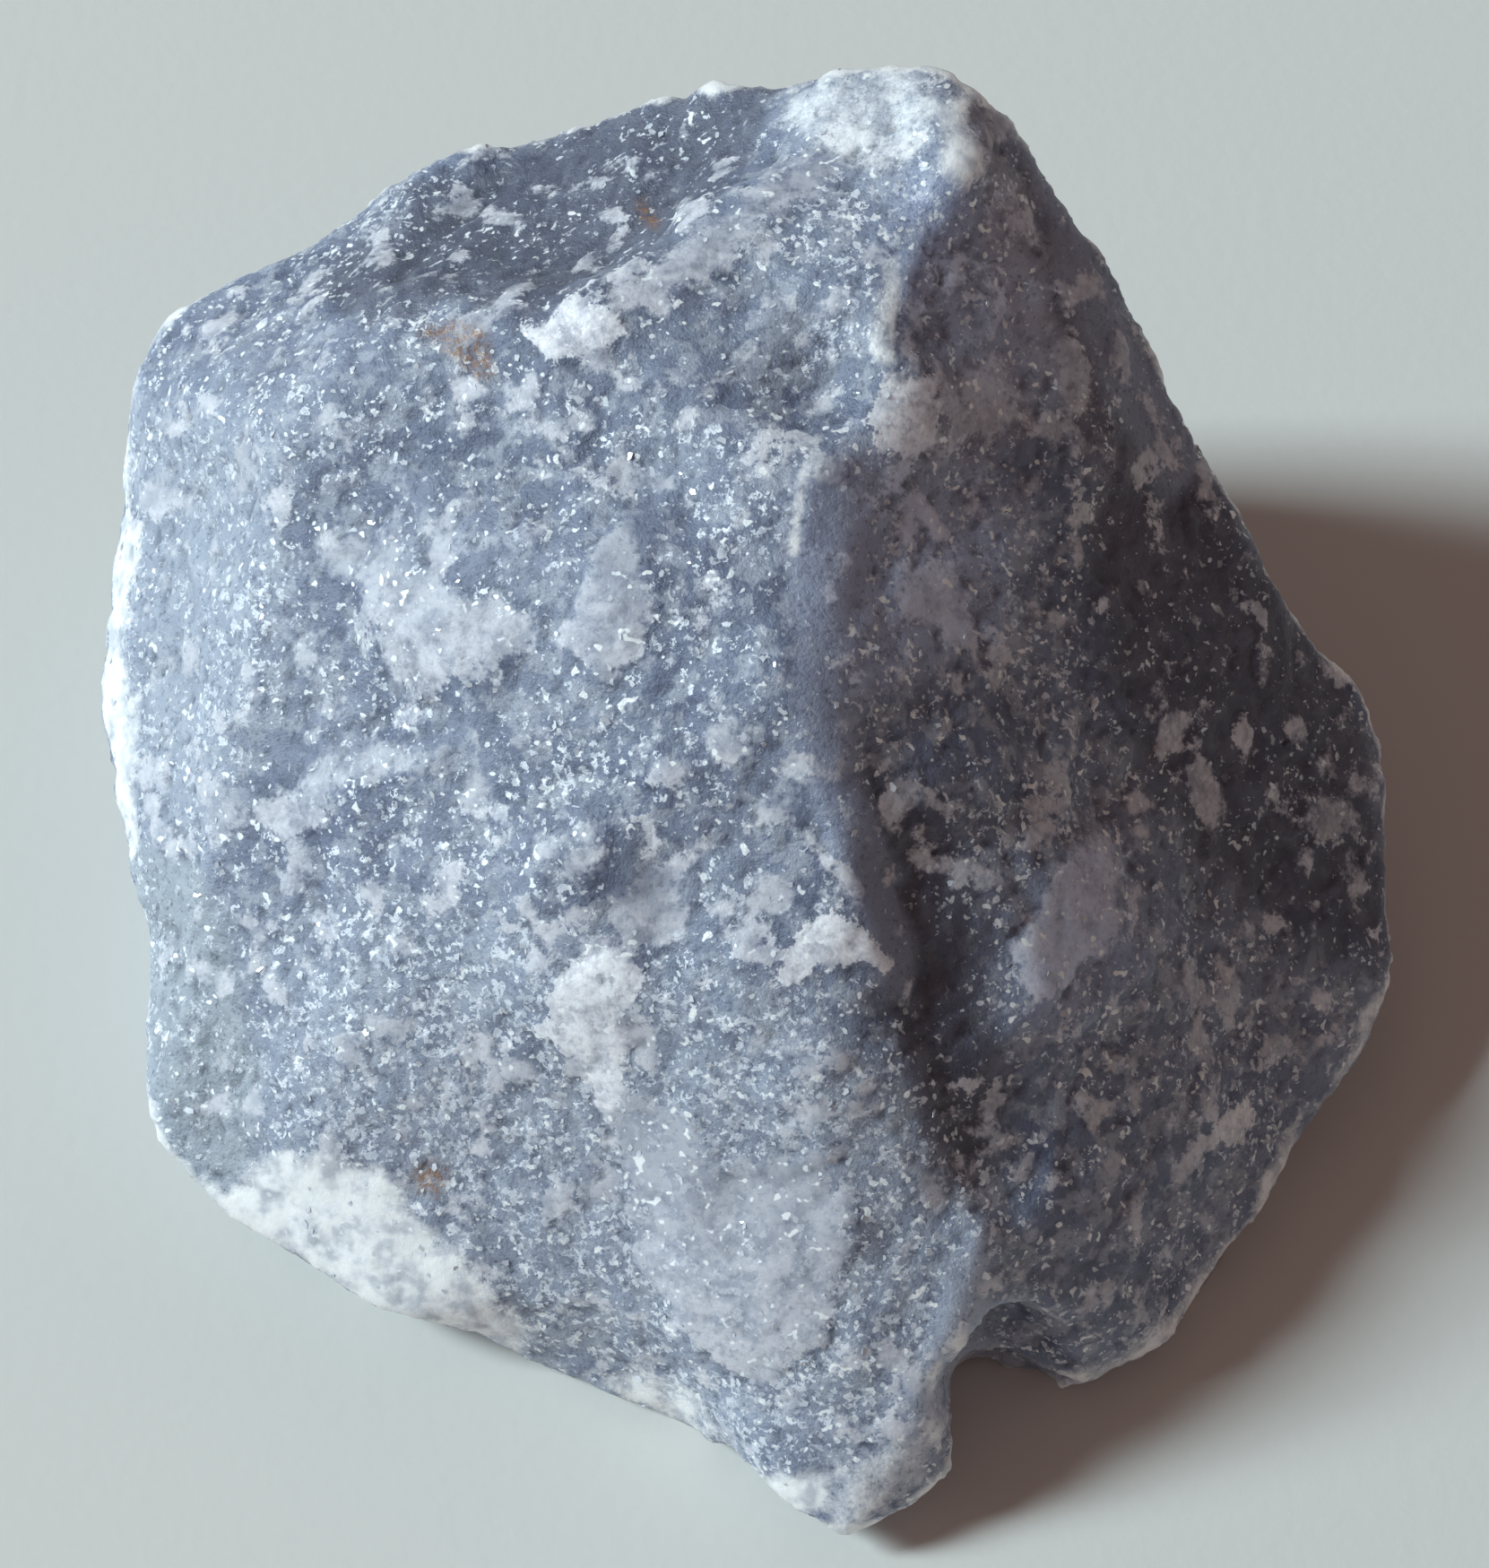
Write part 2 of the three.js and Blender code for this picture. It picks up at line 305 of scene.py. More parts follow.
# Painted glow: thin stone where light comes through is painted paler and bluer than the rest
PAINTED_GLOW_ZONES = {
    "below_crown": ((1000, 210), (1060, 190), (1130, 220), (1175, 330), (1170, 430), (1110, 450),
                    (1040, 410), (1000, 330)),
    "below_crest": ((900, 560), (1000, 510), (1120, 500), (1140, 600), (1090, 720), (960, 780),
                    (900, 700)),
    "lobe": ((1130, 1080), (1190, 940), (1240, 940), (1270, 1060), (1220, 1140), (1150, 1150)),
}
# Warm tinge, paler than the body; where the flank and the stone below the crest catch some light it is also
# painted light
PINK_AND_LIT = {
    "flank_band": ((1050, 105), (1110, 118), (1160, 230), (1215, 380), (1270, 520), (1330, 640),
                   (1290, 680), (1220, 560), (1160, 420), (1110, 290), (1075, 190)),
    "below_crest": ((985, 520), (1000, 440), (1050, 410), (1130, 400), (1150, 500), (1090, 520)),
}
# Shallow swells and dips of the skin: height in millimetres, half the width of the edge in pixels, corners
SWELLS = {
    "crest_shoulder": (0.6, 55, ((990, 400), (1060, 395), (1105, 450), (1085, 505), (1000, 508))),
    "crown_shoulder": (1.0, 40, ((1020, 110), (1080, 110), (1110, 200), (1070, 240), (1030, 190))),
    "valley": (-1.6, 60, ((985, 960), (1050, 950), (1105, 1150), (1115, 1330), (1060, 1340),
                          (1020, 1200))),
    "lobe": (1.1, 90, ((1150, 980), (1250, 950), (1360, 1110), (1380, 1280), (1250, 1410),
                       (1150, 1370), (1130, 1200))),
}
# Pale smooth bevel
BEVEL = {
    "west": ((140, 930), (215, 960), (262, 1050), (285, 1180), (285, 1290), (215, 1350), (165, 1270),
             (140, 1100)),
}
# Rust
RUST = {
    "hollow_speck": ((706, 222), (716, 220), (732, 240), (728, 250), (712, 244)),
    "fold_patch": ((465, 372), (500, 352), (545, 372), (556, 424), (540, 432), (505, 402)),
    "crest_speck": ((998, 418), (1006, 418), (1008, 428), (1000, 430)),
    "crust_patch": ((458, 1310), (480, 1290), (500, 1305), (490, 1340), (465, 1335)),
}

MARKS = {
    "rind": RIND_AND_PAINTED_LIP,
    "bruised": BRUISED_AND_PAINTED_END,
    "crest": CREST,
    "smooth": SMOOTH,
    "clear": CLEAR_AND_SHADED,
    "bevel": BEVEL,
    "rust": RUST,
    "painted_shade": PAINTED_SHADE_ZONES,
    "front": FRONT,
    "pale": PALE_AND_LIT,
    "painted_glow": PAINTED_GLOW_ZONES,
    "pink": PINK_AND_LIT,
}


def linear(hex_colour):
    """An sRGB hex colour as the linear red, green, blue and alpha that a socket takes."""
    channels = [int(hex_colour[i : i + 2], 16) / 255 for i in (1, 3, 5)]
    return (*[c / 12.92 if c <= 0.04045 else ((c + 0.055) / 1.055) ** 2.4 for c in channels], 1.0)


def add(tree, kind, inputs=None, **settings):
    """Adds one node. Inputs maps a socket to a value, or to the output that feeds it."""
    node = tree.nodes.new(kind)
    for name, value in settings.items():
        setattr(node, name, value)
    for socket, value in (inputs or {}).items():
        if isinstance(value, bpy.types.NodeSocket):
            tree.links.new(value, node.inputs[socket])
        else:
            node.inputs[socket].default_value = value
    return node


# Viewpoint


def view_axes():
    """The photograph's camera: its place in millimetres, and the right, up and backward directions."""
    elevation = math.radians(VIEW_ELEVATION)
    backward = np.array((0.0, -math.cos(elevation), math.sin(elevation)))
    right = np.array((1.0, 0.0, 0.0))
    up = np.cross(backward, right)
    return np.array(VIEW_TARGET) + VIEW_DISTANCE * backward, right, up, backward


def photo_pixels(points):
    """Where points in millimetres show in the photograph, in its own pixels."""
    place, right, up, backward = view_axes()
    seen = points - place
    focal = LENS_MM / SENSOR_MM * max(PHOTO_WIDTH, PHOTO_HEIGHT)
    depth = -(seen @ backward)
    across = PHOTO_WIDTH / 2 + focal * (seen @ right) / depth
    down = PHOTO_HEIGHT / 2 - focal * (seen @ up) / depth
    return np.stack((across, down), 1)


def make_camera():
    place, _, _, backward = view_axes()
    data = bpy.data.cameras.new("camera")
    data.lens = LENS_MM
    data.sensor_width = SENSOR_MM
    data.clip_start = 0.01
    camera = bpy.data.objects.new("camera", data)
    camera.location = Vector(place * MM)
    camera.rotation_euler = Vector(-backward).to_track_quat("-Z", "Y").to_euler()
    bpy.context.scene.collection.objects.link(camera)
    bpy.context.scene.camera = camera


# Patterns on points


def smoothstep(low, high, value):
    t = np.clip((value - low) / (high - low), 0, 1)
    return t * t * (3 - 2 * t)


def wander(points, spacing, layer):
    """Smooth noise from -1 to 1, its features this far apart. Each layer is another pattern."""
    shift = 17.3 * layer
    return np.array([noise.noise((x + shift, y - shift, z + shift)) for x, y, z in points / spacing])


def clouds(points, parts, first_layer):
    """Smooth noise added up from parts of a spacing and a strength each."""
    total = np.zeros(len(points))
    for i, (spacing, strength) in enumerate(parts):
        total += strength * wander(points, spacing, first_layer + i)
    return total


def inside(corners, pixels):
    """Distance in pixels from each point to a polygon's edge, above zero inside it."""
    ring = np.array(corners, float)
    within = np.zeros(len(pixels), bool)
    nearest = np.full(len(pixels), 1e9)
    for a, b in zip(ring, np.roll(ring, -1, axis=0)):
        edge = b - a
        offset = pixels - a
        along = np.clip(offset @ edge / (edge @ edge), 0, 1)
        nearest = np.minimum(nearest, np.linalg.norm(offset - along[:, None] * edge, axis=1))
        straddles = (a[1] > pixels[:, 1]) != (b[1] > pixels[:, 1])
        crossing = a[0] + (pixels[:, 1] - a[1]) * edge[0] / (edge[1] if edge[1] else 1e-9)
        within ^= straddles & (pixels[:, 0] < crossing)
    return np.where(within, nearest, -nearest)


class Skin:
    """The stone's skin as arrays in millimetres: its points, the edges between them and its normals."""

    def __init__(self, mesh):
        self.mesh = mesh
        self.points = self.read("vertices", "co", 3)
        self.edges = np.zeros(len(mesh.edges) * 2, np.int32)
        mesh.edges.foreach_get("vertices", self.edges)
        self.edges = self.edges.reshape(-1, 2)
        self.degree = np.bincount(self.edges.ravel(), minlength=len(self.points))[:, None]

    def read(self, group, name, width):
        items = getattr(self.mesh, group)
        values = np.zeros(len(items) * width, np.float32)
        items.foreach_get(name, values)
        return values.reshape(-1, width).astype(float)

    def around(self, values):
        """The mean of each point's neighbours."""
        a, b = self.edges.T
        total = np.zeros_like(values)
        for axis in range(values.shape[1]):
            total[:, axis] += np.bincount(a, values[b, axis], len(values))
            total[:, axis] += np.bincount(b, values[a, axis], len(values))
        return total / self.degree

    def smooth(self, values, rounds):
        for _ in range(rounds):
            values = 0.5 * values + 0.5 * self.around(values)
        return values

    def store(self):
        self.mesh.vertices.foreach_set("co", self.points.astype(np.float32).ravel())
        self.mesh.update()

    def normals(self):
        self.store()
        return self.read("vertices", "normal", 3)


# The stone's skin


def even_copy():
    """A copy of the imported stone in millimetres, merged and cut into even faces."""
    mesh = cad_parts["stone"].data.copy()
    mesh.transform(Matrix.Scale(1 / MM, 4))
    work = bmesh.new()
    work.from_mesh(mesh)
    bmesh.ops.remove_doubles(work, verts=work.verts, dist=0.001)
    work.to_mesh(mesh)
    work.free()
    piece = bpy.data.objects.new("even", mesh)
    bpy.context.scene.collection.objects.link(piece)
    even = piece.modifiers.new("even", "REMESH")
    even.mode = "VOXEL"
    even.voxel_size = SKIN_STEP
    graph = bpy.context.evaluated_depsgraph_get()
    made = bpy.data.meshes.new_from_object(piece.evaluated_get(graph))
    bpy.data.objects.remove(piece)
    return made


def marks(corner_sets, pixels, ragged, seen, edge):
    """How much of any of these marks covers each point, from 0 to 1, with an edge this many pixels wide."""
    cover = np.zeros(len(pixels))
    for corners in corner_sets:
        depth = inside(corners, pixels) + ragged * PIXELS_PER_MM
        cover = np.maximum(cover, smoothstep(-edge, edge, depth))
    return cover * seen


def fracture(points):
    """Lumps and hackle: the rough break, before its flakes and grains."""
    coarse = wander(points, HACKLE_SPACING, 5)
    fine = wander(points, HACKLE_SPACING / HACKLE_FINENESS, 6)
    stepped = HACKLE_STEPS * (coarse + HACKLE_FINE_SHARE * fine)
    tread = np.floor(stepped)
    return clouds(points, LUMPS, 0) + HACKLE_RISE * (tread + smoothstep(*HACKLE_RISER, stepped - tread))


def grains(points):
    """Sugary grain: each crystal is a small facet with a height and a lean of its own."""
    height = np.zeros(len(points))
    for i, point in enumerate(points / GRAIN_SIZE):
        seed = noise.voronoi(Vector(point))[1][0]
        lean = noise.cell_vector(seed * 9.7) - Vector((0.5, 0.5, 0.5))
        height[i] = GRAIN_RISE * (noise.cell(seed * 7.1) - 0.5)
        height[i] += GRAIN_TILT * (Vector(point) - seed).dot(lean)
    return height


def flakes(points, pixels, seen):
    """Depth inside the nearest flake's edge in millimetres, its rise, its lightness and the raggedness.

    A flake ends in a sharp bright edge at its foot and dissolves towards its head.
    """
    ragged = clouds(points, FLAKE_RAGGED, 10)
    fine = wander(points, SCATTERED_SPACING / SCATTERED_FINENESS, 21)
    scatter = wander(points, SCATTERED_SPACING, 20) + SCATTERED_FINE_SHARE * fine
    depth = (scatter - SCATTERED_LEVEL - SCATTERED_THINNING * seen) * SCATTERED_SPACING * SCATTERED_REACH
    rise = SCATTERED_RISE * smoothstep(*FLAKE_EDGE, depth)
    light = np.clip(SCATTERED_LIGHT + clouds(points, (SCATTERED_LIGHT_CLOUD,), 23), 0, 1)
    for name, (height, corners) in FLAKES.items():
        within = inside(corners, pixels) / PIXELS_PER_MM
        head = min(v for _, v in corners)
        foot = max(v for _, v in corners)
        down = np.clip((pixels[:, 1] - head) / (foot - head), 0, 1)
        within = np.where(within > 0, within * (FLAKE_HEAD + (1 - FLAKE_HEAD) * down), within)
        within = within + ragged + FLAKE_SPREAD
        within = np.where(seen > SEEN_ENOUGH, within, BLANK)
        shine = FLAKE_LIGHT_AT_HEAD + FLAKE_LIGHT_GAIN * smoothstep(*FLAKE_LIGHT_FROM_TO, down)
        if name in BRIGHT_FLAKES:
            shine = BRIGHT_LIGHT
        light = np.where(within > np.maximum(depth, FLAKE_HALO), shine, light)
        depth = np.maximum(depth, within)
        rise = np.maximum(rise, FLAKE_THINNESS * height * smoothstep(*FLAKE_EDGE, within))
    return np.clip(depth, BLANK, -BLANK), rise, light, ragged


def facing(points, normals):
    """Which points show in the photograph, judged by the way they face."""
    toward = view_axes()[0] - points
    toward /= np.linalg.norm(toward, axis=1, keepdims=True)
    return smoothstep(*FACING, np.sum(normals * toward, 1))


def build_skin():
    mesh = even_copy()
    skin = Skin(mesh)
    skin.points = skin.smooth(skin.points, SMOOTHING_ROUNDS)
    normals = skin.normals()
    seen = facing(skin.points, normals)
    soft = marks(SOFT.values(), photo_pixels(skin.points), 0, seen, SOFT_EDGE)
    skin.points += soft[:, None] * (skin.smooth(skin.points, SOFTENING_ROUNDS) - skin.points)
    normals = skin.normals()
    pixels = photo_pixels(skin.points)
    seen = facing(skin.points, normals)
    for height, edge, corners in SWELLS.values():
        skin.points += normals * (height * marks([corners], pixels, 0, seen, edge))[:, None]
    normals = skin.normals()
    base = skin.points.copy()
    pixels = photo_pixels(base)
    seen = facing(base, normals)

    depth, rise, light, ragged = flakes(base, pixels, seen)
    layers = {}
    for name, (share, edge) in MARK_ENDS.items():
        layers[name] = marks(MARKS[name].values(), pixels, share * ragged, seen, edge)
    bruised = BRUISED_STRENGTH * layers.pop("bruised")
    crest = CREST_STRENGTH * layers.pop("crest")
    front = layers.pop("front")
    bend = np.sum((base - skin.smooth(base, WORN_ROUNDS)) * skin.smooth(normals, WORN_NORMAL_ROUNDS), 1)
    spacing, reach = WORN_RAGGED
    worn = smoothstep(*WORN, bend + reach * wander(base, spacing, 22))
    layers["rind"] = np.maximum.reduce((layers["rind"], worn, bruised, crest))
    # The front's painted light joins the pale mark, which lifts the tone, the specks and the pale wash
    layers["pale"] = np.maximum(layers["pale"], FRONT_PAINTED_LIGHT * front)

    flake = smoothstep(*FLAKE_COVER, depth)
    settle = smoothstep(*SETTLE, base[:, 2])
    roughness = 1 - np.maximum(SMOOTH_CALM * layers["smooth"], RIND_CALM * layers["rind"])
    height = roughness * (fracture(base) + (1 - FLAKE_CALM * flake) * grains(base)) + rise
    skin.points = base + normals * (height * settle)[:, None]
    skin.points[:, 2] = np.maximum(0, skin.points[:, 2])
    hollow = np.sum((skin.smooth(skin.points, CREVICE_ROUNDS) - skin.points) * normals, 1)
    skin.store()

    tone = TONE_LEVEL + clouds(base, TONE_CLOUDS, 30) + TONE_PALE * layers["pale"]
    sparkle = SPARKLE_LEVEL + clouds(base, SPARKLE_CLOUDS, 32)
    sparkle = np.clip(sparkle + SPARKLE_FRONT * front + SPARKLE_PALE * layers["pale"], 0, 1) * settle
    for name, damping in SPARKLE_DAMPING.items():
        sparkle *= 1 - damping * layers[name]
    layers["flake"] = depth
    layers["light"] = light
    # Painted shade in crevices, from how deep each point lies
    layers["crevice_shade"] = smoothstep(*CREVICE_SHADE_RANGE, hollow)
    layers["tone"] = np.clip(tone, 0, 1)
    layers["sparkle"] = sparkle
    for name, values in layers.items():
        layer = mesh.attributes.new(name, "FLOAT", "POINT")
        layer.data.foreach_set("value", values.astype(np.float32))
    mesh.transform(Matrix.Scale(MM, 4))
    mesh.polygons.foreach_set("use_smooth", np.ones(len(mesh.polygons), bool))
    mesh.name = "stone_skin"
    return bpy.data.objects.new("stone_skin", mesh)


# Materials


def make_angelite():
    """Angelite, freshly broken: a cloudy blue-grey body full of sugar-white specks.

    It has pale bruised flakes that fade towards their heads, a chalky white rind and a little rust, and it
    lets light some way in, so that its shaded edges glow. Some of its colour is painted light and shade:
    the white specks are partly painted glints, thin shaded stone is painted with a bluish glow, the front
    and the prong are painted paler, and crevices, the hollow, the shaded flank and the valley are painted
    darker.
    """
    material = bpy.data.materials.new("angelite_broken")
    material.use_nodes = True
    tree = material.node_tree
    tree.nodes.clear()
    where = add(tree, "ShaderNodeTexCoord").outputs["Object"]

    def mask(name):
        return add(tree, "ShaderNodeAttribute", attribute_name=name).outputs["Fac"]

    def ramp(value, low, high, to_low=0.0, to_high=1.0):
        return add(tree, "ShaderNodeMapRange", {"Value": value, "From Min": low, "From Max": high,
                                                "To Min": to_low, "To Max": to_high}).outputs["Result"]

    def calc(operation, a, b, c=0.0):
        return add(tree, "ShaderNodeMath", {0: a, 1: b, 2: c}, operation=operation).outputs["Value"]

    def blend(factor, a, b):
        return add(tree, "ShaderNodeMix", {0: factor, 6: a, 7: b}, data_type="RGBA").outputs[2]

    def speckle(size, detail, roughness):
        return add(tree, "ShaderNodeTexNoise", {"Vector": where, "Scale": 1 / (size * MM), "Detail": detail,
                                                "Roughness": roughness}).outputs["Fac"]

    grit = speckle(GRIT_SIZE, 2.0, 0.8)
    vein = speckle(VEIN_SIZE, 2.0, 0.6)
    glint = speckle(GLINT_SIZE, 1.0, 0.8)

    crystal = add(tree, "ShaderNodeTexVoronoi", {"Vector": where, "Scale": 1 / (CRYSTAL_SIZE * MM)})
    given = add(tree, "ShaderNodeSeparateColor", {"Color": crystal.outputs["Color"]}).outputs
    chance = given["Red"]
    shine = given["Green"]

    depth = mask("flake")
    light = mask("light")
    sparkle = mask("sparkle")
    frayed = calc("MULTIPLY_ADD", grit, 1.3, calc("MULTIPLY_ADD", vein, 1.6, calc("ADD", depth, -1.45)))
    cover = ramp(frayed, -0.04, ramp(light, 0.2, 1.0, 0.8, 0.1))
    flake = calc("MULTIPLY", cover, ramp(vein, 0.36, 0.60, 0.6, 1.0))

    body = blend(mask("tone"), linear("#666e87"), linear("#989fb1"))
    body = blend(calc("MULTIPLY", ramp(vein, 0.50, 0.57), 0.55), body, linear("#b4b8c3"))
    for name, strength, colour in WASHES:
        body = blend(calc("MULTIPLY", mask(name), strength), body, linear(colour))
    # The even zones are painted lighter: on the ridge's shaded side and the prong's side this is painted
    # light, for light coming through the stone
    even = blend(mask("pale"), linear("#a3aac0"), linear("#bfc5d3"))
    body = blend(calc("MULTIPLY", mask("smooth"), 0.6), body, even)
    body = blend(ramp(grit, 0.44, 0.30, 0.0, 0.55), body, linear("#4b5166"))

    # White specks: partly the grains' own whiteness and partly painted glints of their cleavage faces
    cluster = calc("MULTIPLY", ramp(glint, 0.52, 0.64), sparkle)
    needed = calc("MULTIPLY_ADD", cluster, -0.10, ramp(sparkle, 0.0, 1.0, 1.22, 0.98))
    score = calc("MULTIPLY_ADD", chance, 0.5, calc("MULTIPLY", grit, 1.2))
    chosen = ramp(calc("SUBTRACT", score, needed), 0.0, 0.03)
    speck_and_glint = calc("MULTIPLY", chosen, ramp(shine, 0.0, 1.0, 0.4, 1.0))
    body = blend(speck_and_glint, body, linear("#e3e6ee"))

    clouded = calc("MULTIPLY", light, ramp(vein, 0.3, 0.6, 0.4, 1.0))
    pale = blend(clouded, linear("#a3a5b1"), linear("#dedce3"))
    pale = blend(ramp(light, 1.0, BRIGHT_LIGHT), pale, linear("#f3f0f4"))
    # Flakes in the thin shaded stone are painted with the bluish glow too
    pale = blend(calc("MULTIPLY", mask("painted_glow"), 0.9), pale, linear("#d6dbee"))
    body = blend(calc("MULTIPLY", flake, ramp(grit, 0.35, 0.6, 0.65, 1.0)), body, pale)
    chalk = blend(ramp(vein, 0.35, 0.6), linear("#d6d7dc"), linear("#fbfafb"))
    rind = ramp(calc("MULTIPLY_ADD", grit, 0.6, mask("rind")), 0.50, 0.95)
    body = blend(calc("MULTIPLY", rind, ramp(vein, 0.35, 0.5, 0.75, 1.0)), body, chalk)
    # Painted glints: rare, larger spots of near-white
    painted_glint = calc("MULTIPLY", ramp(glint, 0.66, 0.70), ramp(sparkle, 0.1, 0.4))
    body = blend(painted_glint, body, linear("#f6f8fb"))
    # Painted shade: crevices darken the body colour
    body = blend(calc("MULTIPLY", mask("crevice_shade"), 0.5), body, linear("#4c5060"))
    stain = calc("MULTIPLY", mask("rust"), ramp(grit, 0.42, 0.6, 0.15, 0.9))
    body = blend(stain, body, linear("#8f6a4f"))

    calm = calc("MAXIMUM", ramp(depth, 0.0, 0.3), mask("rind"))
    relief = calc("MULTIPLY", grit, ramp(calm, 0.0, 1.0, 1.0, 0.4))
    skin = add(tree, "ShaderNodeBump", {"Height": relief, "Strength": 0.75, "Distance": RELIEF_DEPTH * MM})
    sheen = ramp(calc("MAXIMUM", speck_and_glint, painted_glint), 0.0, 1.0, 0.6, 0.35)
    surface = {
        "Base Color": body,
        "Roughness": sheen,
        "IOR": ANHYDRITE_IOR,
        "Normal": skin.outputs["Normal"],
        "Subsurface Weight": GLOW_WEIGHT,
        "Subsurface Scale": GLOW_DEPTH * MM,
        "Subsurface Radius": GLOW_SPREAD,
    }
    shader = add(tree, "ShaderNodeBsdfPrincipled", surface)
    add(tree, "ShaderNodeOutputMaterial", {"Surface": shader.outputs["BSDF"]})
    return material


def make_cleavage():
    """Anhydrite cleavage: small clean facets, whiter and glossier than the body, that glint."""
    material = bpy.data.materials.new("anhydrite_cleavage")
    material.use_nodes = True
    tree = material.node_tree
    tree.nodes.clear()
    where = add(tree, "ShaderNodeTexCoord").outputs["Object"]
    scale = 1 / (CLEAVAGE_TONE_SIZE * MM)
    tone = add(tree, "ShaderNodeTexNoise", {"Vector": where, "Scale": scale, "Detail": 1.0}).outputs["Fac"]
    white = add(tree, "ShaderNodeMix", {0: tone, 6: linear("#9a9cab"), 7: linear("#eef0f4")},
                data_type="RGBA").outputs[2]
    shader = add(tree, "ShaderNodeBsdfPrincipled", {"Base Color": white, "Roughness": 0.22,
                                                    "IOR": ANHYDRITE_IOR})
    add(tree, "ShaderNodeOutputMaterial", {"Surface": shader.outputs["BSDF"]})
    return material


def make_card():
    """Matt pressed card: pale and even, with a tooth so fine that it only takes the shine off."""
    material = bpy.data.materials.new("card_pressed_matt")
    material.use_nodes = True
    tree = material.node_tree
    shader = tree.nodes["Principled BSDF"]
    where = add(tree, "ShaderNodeTexCoord").outputs["Object"]
    scale = 1 / (FLOOR_TOOTH_SIZE * MM)
    tooth = add(tree, "ShaderNodeTexNoise", {"Vector": where, "Scale": scale, "Detail": 3.0}).outputs["Fac"]
    bump = add(tree, "ShaderNodeBump", {"Height": tooth, "Strength": 0.12,
                                        "Distance": FLOOR_TOOTH_DEPTH * MM})
    tree.links.new(bump.outputs["Normal"], shader.inputs["Normal"])
    shader.inputs["Base Color"].default_value = linear("#dbd9d4")
    shader.inputs["Roughness"].default_value = 0.9
    return material


# Cleavage grains


def cleavage_tree(material):
    """Geometry Nodes that strew small leaning prisms over a skin, as many as its sparkle asks for."""
    tree = bpy.data.node_groups.new("cleavage_grains", "GeometryNodeTree")
    tree.interface.new_socket("Geometry", in_out="INPUT", socket_type="NodeSocketGeometry")
    for name in ("Per square metre", "Smallest", "Largest", "Thickness", "Tilt"):
        tree.interface.new_socket(name, in_out="INPUT", socket_type="NodeSocketFloat")
    tree.interface.new_socket("Seed", in_out="INPUT", socket_type="NodeSocketInt")
    tree.interface.new_socket("Geometry", in_out="OUTPUT", socket_type="NodeSocketGeometry")
    given = add(tree, "NodeGroupInput").outputs
    sparkle = add(tree, "GeometryNodeInputNamedAttribute", {"Name": "sparkle"}, data_type="FLOAT")
    density = add(tree, "ShaderNodeMath", {0: given["Per square metre"], 1: sparkle.outputs["Attribute"]},
                  operation="MULTIPLY").outputs["Value"]
    strewing = {"Mesh": given["Geometry"], "Density": density, "Seed": given["Seed"]}
    strewn = add(tree, "GeometryNodeDistributePointsOnFaces", strewing)
    prism = add(tree, "GeometryNodeMeshCylinder", {"Vertices": CLEAVAGE_SIDES, "Radius": 0.5, "Depth": 1.0})
    sunk = add(tree, "GeometryNodeTransform", {"Geometry": prism.outputs["Mesh"],
                                               "Translation": (0.0, 0.0, -CLEAVAGE_SINK)})
    low = add(tree, "ShaderNodeMath", {0: given["Tilt"], 1: -1.0}, operation="MULTIPLY").outputs["Value"]
    lowest = add(tree, "ShaderNodeCombineXYZ", {"X": low, "Y": low, "Z": -math.pi}).outputs["Vector"]
    highest = add(tree, "ShaderNodeCombineXYZ", {"X": given["Tilt"], "Y": given["Tilt"], "Z": math.pi})
    lean = add(tree, "FunctionNodeRandomValue", {"Min": lowest, "Max": highest.outputs["Vector"],
                                                 "Seed": given["Seed"]}, data_type="FLOAT_VECTOR")
    turning = {"Rotation": strewn.outputs["Rotation"], "Rotate By": lean.outputs["Value"]}
    turned = add(tree, "FunctionNodeRotateRotation", turning, rotation_space="LOCAL")
    sizes = {2: given["Smallest"], 3: given["Largest"], "Seed": given["Seed"]}
    size = add(tree, "FunctionNodeRandomValue", sizes, data_type="FLOAT")
    stretch = add(tree, "FunctionNodeRandomValue", {"Min": (0.7, 1.0, 0.0), "Max": (1.0, 1.6, 0.0)},
                  data_type="FLOAT_VECTOR")
    flat = add(tree, "ShaderNodeCombineXYZ", {"Z": given["Thickness"]}).outputs["Vector"]
    shape = add(tree, "ShaderNodeVectorMath", {0: stretch.outputs["Value"], 1: flat}, operation="ADD")
    scale = add(tree, "ShaderNodeVectorMath", {0: shape.outputs["Vector"], "Scale": size.outputs[1]},
                operation="SCALE")
    placed = add(tree, "GeometryNodeInstanceOnPoints", {"Points": strewn.outputs["Points"],
                                                        "Instance": sunk.outputs["Geometry"],
                                                        "Rotation": turned.outputs["Rotation"],
                                                        "Scale": scale.outputs["Vector"]})
    real = add(tree, "GeometryNodeRealizeInstances", {"Geometry": placed.outputs["Instances"]})
    dressed = add(tree, "GeometryNodeSetMaterial", {"Geometry": real.outputs["Geometry"],
                                                    "Material": material})
    add(tree, "NodeGroupOutput", {"Geometry": dressed.outputs["Geometry"]})
    return tree


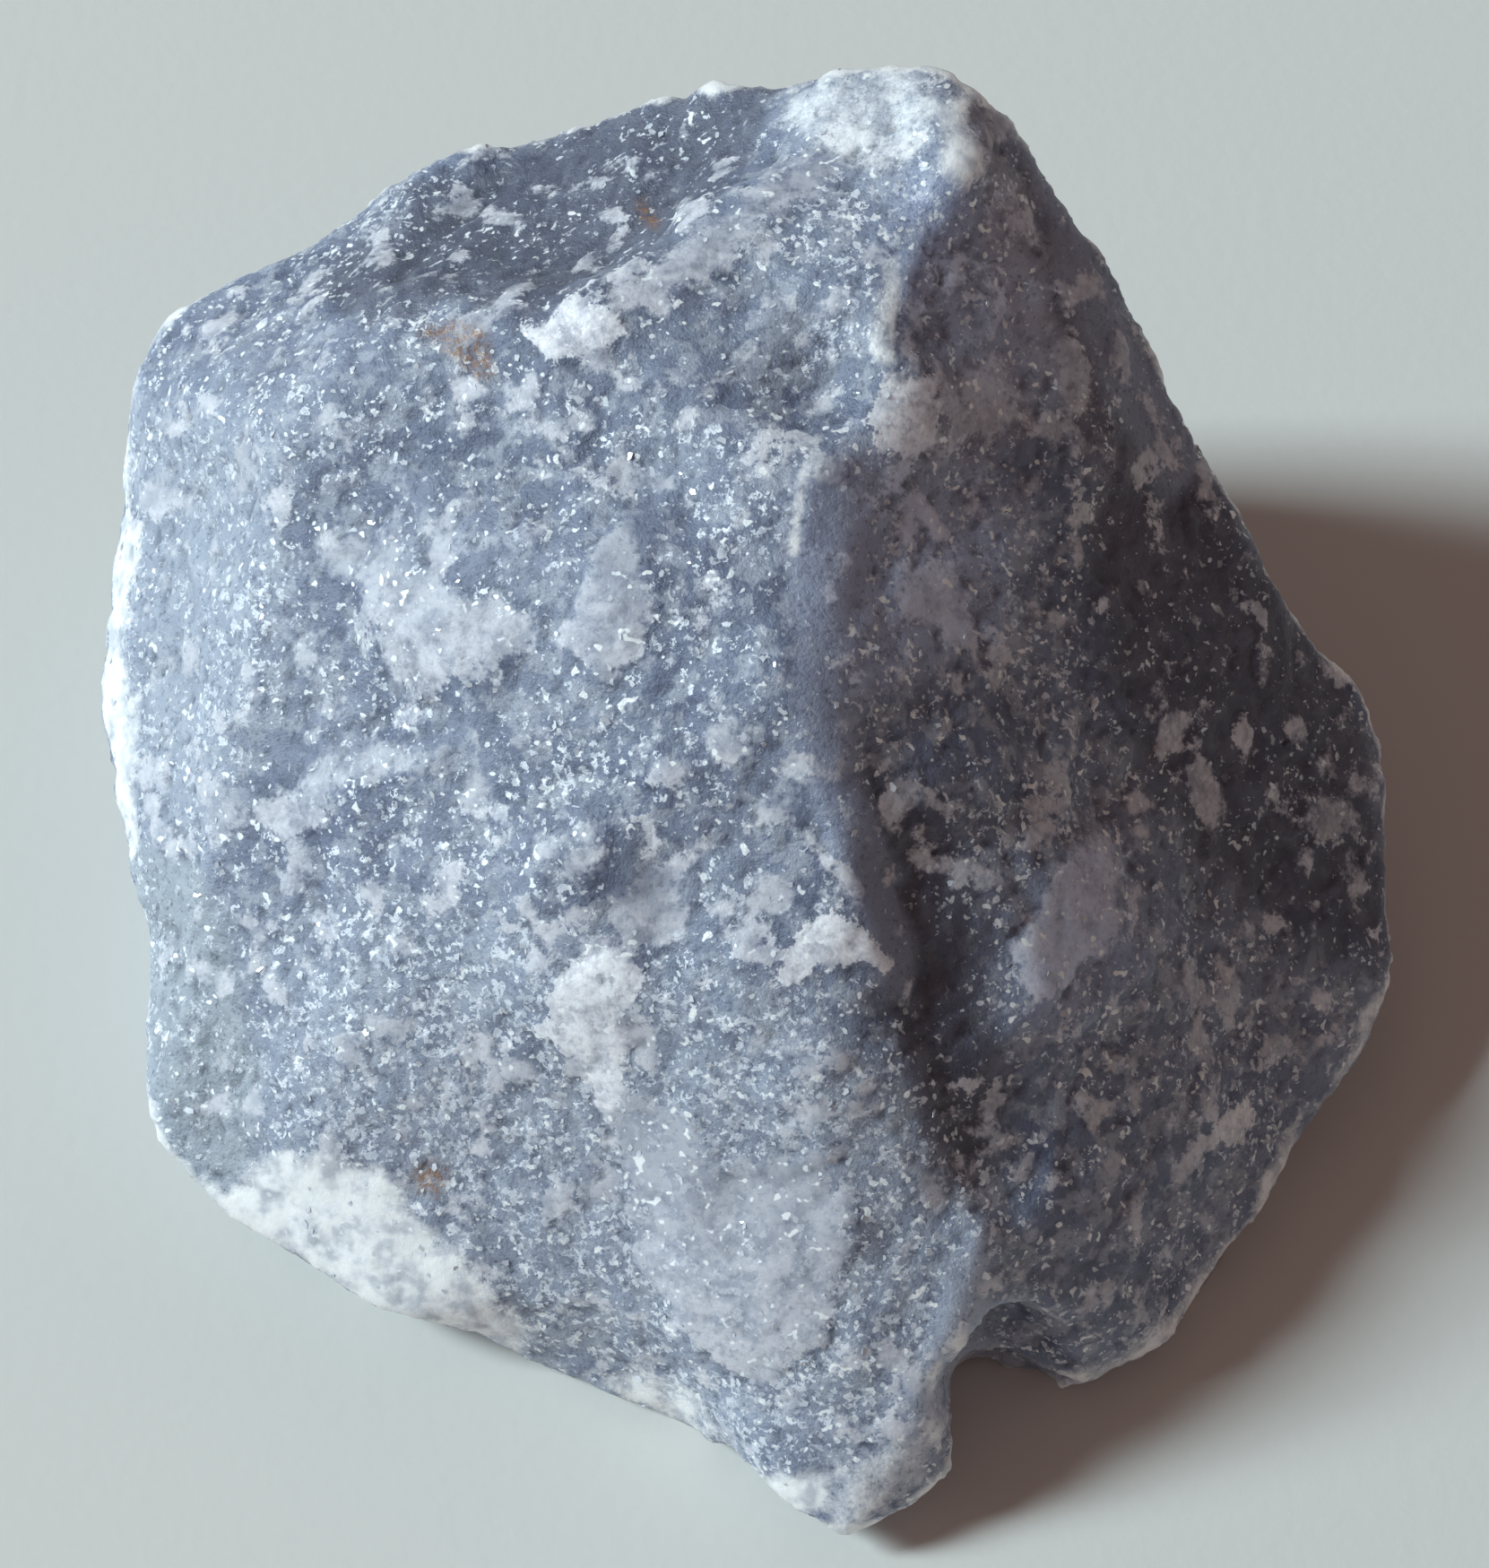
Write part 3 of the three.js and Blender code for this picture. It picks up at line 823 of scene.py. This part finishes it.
def build_cleavage(skin, material):
    """The grains over the skin as one plain mesh."""
    piece = bpy.data.objects.new("strewing", skin.data)
    bpy.context.scene.collection.objects.link(piece)
    strew = piece.modifiers.new("strew", "NODES")
    strew.node_group = cleavage_tree(material)
    values = {
        "Per square metre": CLEAVAGE_PER_CM2 * 1e4,
        "Smallest": CLEAVAGE_SMALLEST * MM,
        "Largest": CLEAVAGE_LARGEST * MM,
        "Thickness": CLEAVAGE_THICKNESS,
        "Tilt": math.radians(CLEAVAGE_TILT),
        "Seed": CLEAVAGE_SEED,
    }
    for socket in strew.node_group.interface.items_tree:
        if socket.in_out == "INPUT" and socket.name in values:
            strew[socket.identifier] = values[socket.name]
    graph = bpy.context.evaluated_depsgraph_get()
    mesh = bpy.data.meshes.new_from_object(piece.evaluated_get(graph))
    bpy.data.objects.remove(piece)
    mesh.name = "cleavage_grains"
    return bpy.data.objects.new("cleavage_grains", mesh)


# Setting


def make_setting():
    floor_mesh = bpy.data.meshes.new("floor")
    signs = ((-1, -1), (1, -1), (1, 1), (-1, 1))
    corners = [(FLOOR_REACH * x, FLOOR_REACH * y, 0) for x, y in signs]
    floor_mesh.from_pydata(corners, [], [(0, 1, 2, 3)])
    floor_mesh.materials.append(make_card())
    floor = bpy.data.objects.new("floor", floor_mesh)
    bpy.context.scene.collection.objects.link(floor)

    data = bpy.data.lights.new("window", "AREA")
    data.shape = "RECTANGLE"
    data.size = WINDOW_WIDTH
    data.size_y = WINDOW_HEIGHT
    data.energy = WINDOW_POWER
    data.color = WINDOW_COLOUR
    window = bpy.data.objects.new("window", data)
    azimuth = math.radians(WINDOW_AZIMUTH)
    elevation = math.radians(WINDOW_ELEVATION)
    level = math.cos(elevation)
    direction = Vector((level * math.cos(azimuth), level * math.sin(azimuth), math.sin(elevation)))
    window.location = WINDOW_DISTANCE * direction
    window.rotation_euler = direction.to_track_quat("Z", "Y").to_euler()
    bpy.context.scene.collection.objects.link(window)

    world = bpy.data.worlds.new("room")
    world.use_nodes = True
    world.node_tree.nodes["Background"].inputs["Color"].default_value = ROOM_COLOUR
    bpy.context.scene.world = world
    bpy.context.scene.view_settings.view_transform = "Standard"


make_camera()
make_setting()

stone_skin = build_skin()
stone_skin.data.materials.clear()
stone_skin.data.materials.append(make_angelite())
bpy.context.scene.collection.objects.link(stone_skin)
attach(stone_skin, "root")
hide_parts("stone")

cleavage = build_cleavage(stone_skin, make_cleavage())
bpy.context.scene.collection.objects.link(cleavage)
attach(cleavage, "root")
